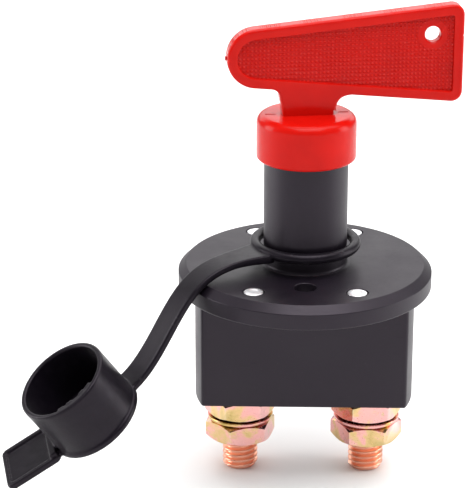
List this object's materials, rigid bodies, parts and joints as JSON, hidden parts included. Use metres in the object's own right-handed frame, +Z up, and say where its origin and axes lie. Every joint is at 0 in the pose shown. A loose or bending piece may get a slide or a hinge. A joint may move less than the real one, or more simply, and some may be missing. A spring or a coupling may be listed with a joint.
{
  "type": "battery switch",
  "caption": "Panel battery isolator with a removable red key in a guide tube, round flange, truncated block, threaded terminals and a tethered rubber cover cap.",
  "frame": {"origin": "on the key's axis at the panel plane, the underside of the round flange", "axes": "+Z up along the key and the tube, X along the line of the two terminal studs, -Y the front, on the side of the two nearer rivets"},
  "size_m": [0.1205, 0.0832, 0.1303],
  "materials": {
    "housing_black": "moulded glass-filled plastic, lightly worn",
    "tether_rubber": "soft moulded rubber",
    "key_red": "gloss moulded red plastic",
    "stud_copper": "turned copper, bright",
    "nut_zinc": "yellow zinc plate with a faint iridescence",
    "rivet_aluminium": "plain aluminium",
    "spring_steel": "bright spring steel",
    "inner_nylon": "natural nylon"
  },
  "bodies": {
    "housing": {"upper_housing": "housing_black", "base_block": "housing_black", "rivet_front_left": "rivet_aluminium", "rivet_front_right": "rivet_aluminium", "rivet_rear_left": "rivet_aluminium", "rivet_rear_right": "rivet_aluminium", "terminal_stud_left": "stud_copper", "terminal_washer_left": "nut_zinc", "upper_nut_left": "nut_zinc", "lower_nut_left": "nut_zinc", "terminal_stud_right": "stud_copper", "terminal_washer_right": "nut_zinc", "upper_nut_right": "nut_zinc", "lower_nut_right": "nut_zinc", "thrust_washer": "spring_steel", "shaft_seal": "tether_rubber", "return_spring": "spring_steel"},
    "rotor": {"cam_rotor": "inner_nylon"},
    "key": {"key": "key_red"},
    "contact_carrier": {"contact_carrier": "inner_nylon", "contact_spring": "spring_steel", "contact_bridge": "stud_copper", "stem_clip": "spring_steel"},
    "tether_ring": {"tether_ring": "tether_rubber"},
    "tether_strap": {"tether_strap": "tether_rubber"},
    "cover_cap": {"cover_cap": "tether_rubber"}
  },
  "joints": [
    {"name": "key_turn", "type": "hinge", "parent": "housing", "child": "rotor", "pos_m": [0, 0, 0], "axis": [0, 0, -1], "range_deg": [0, 90]},
    {"name": "key_withdraw", "type": "slide", "parent": "rotor", "child": "key", "axis": [0, 0, 1], "range_m": [0, 0.045]},
    {"name": "contact_travel", "type": "slide", "parent": "housing", "child": "contact_carrier", "axis": [0, 0, -1], "range_m": [0, 0.0035], "deforming": ["return_spring"]},
    {"name": "tether_swivel", "type": "hinge", "parent": "housing", "child": "tether_ring", "pos_m": [0, 0, 0.0117], "axis": [0, 0, 1], "continuous": true},
    {"name": "strap_lift", "type": "hinge", "parent": "tether_ring", "child": "tether_strap", "pos_m": [-0.01556, -0.00935, 0.0118], "axis": [-0.515, 0.8572, 0], "range_deg": [0, 50], "stiffness_Nm_per_rad": 0.1},
    {"name": "cap_tilt", "type": "hinge", "parent": "tether_strap", "child": "cover_cap", "pos_m": [-0.04534, -0.02725, -0.0172], "axis": [-0.515, 0.8572, 0], "range_deg": [-40, 40], "stiffness_Nm_per_rad": 0.05}
  ],
  "couplings": [
    {"joint": "key_turn", "follows": "contact_travel", "rad_per_m": 448.79}
  ]
}
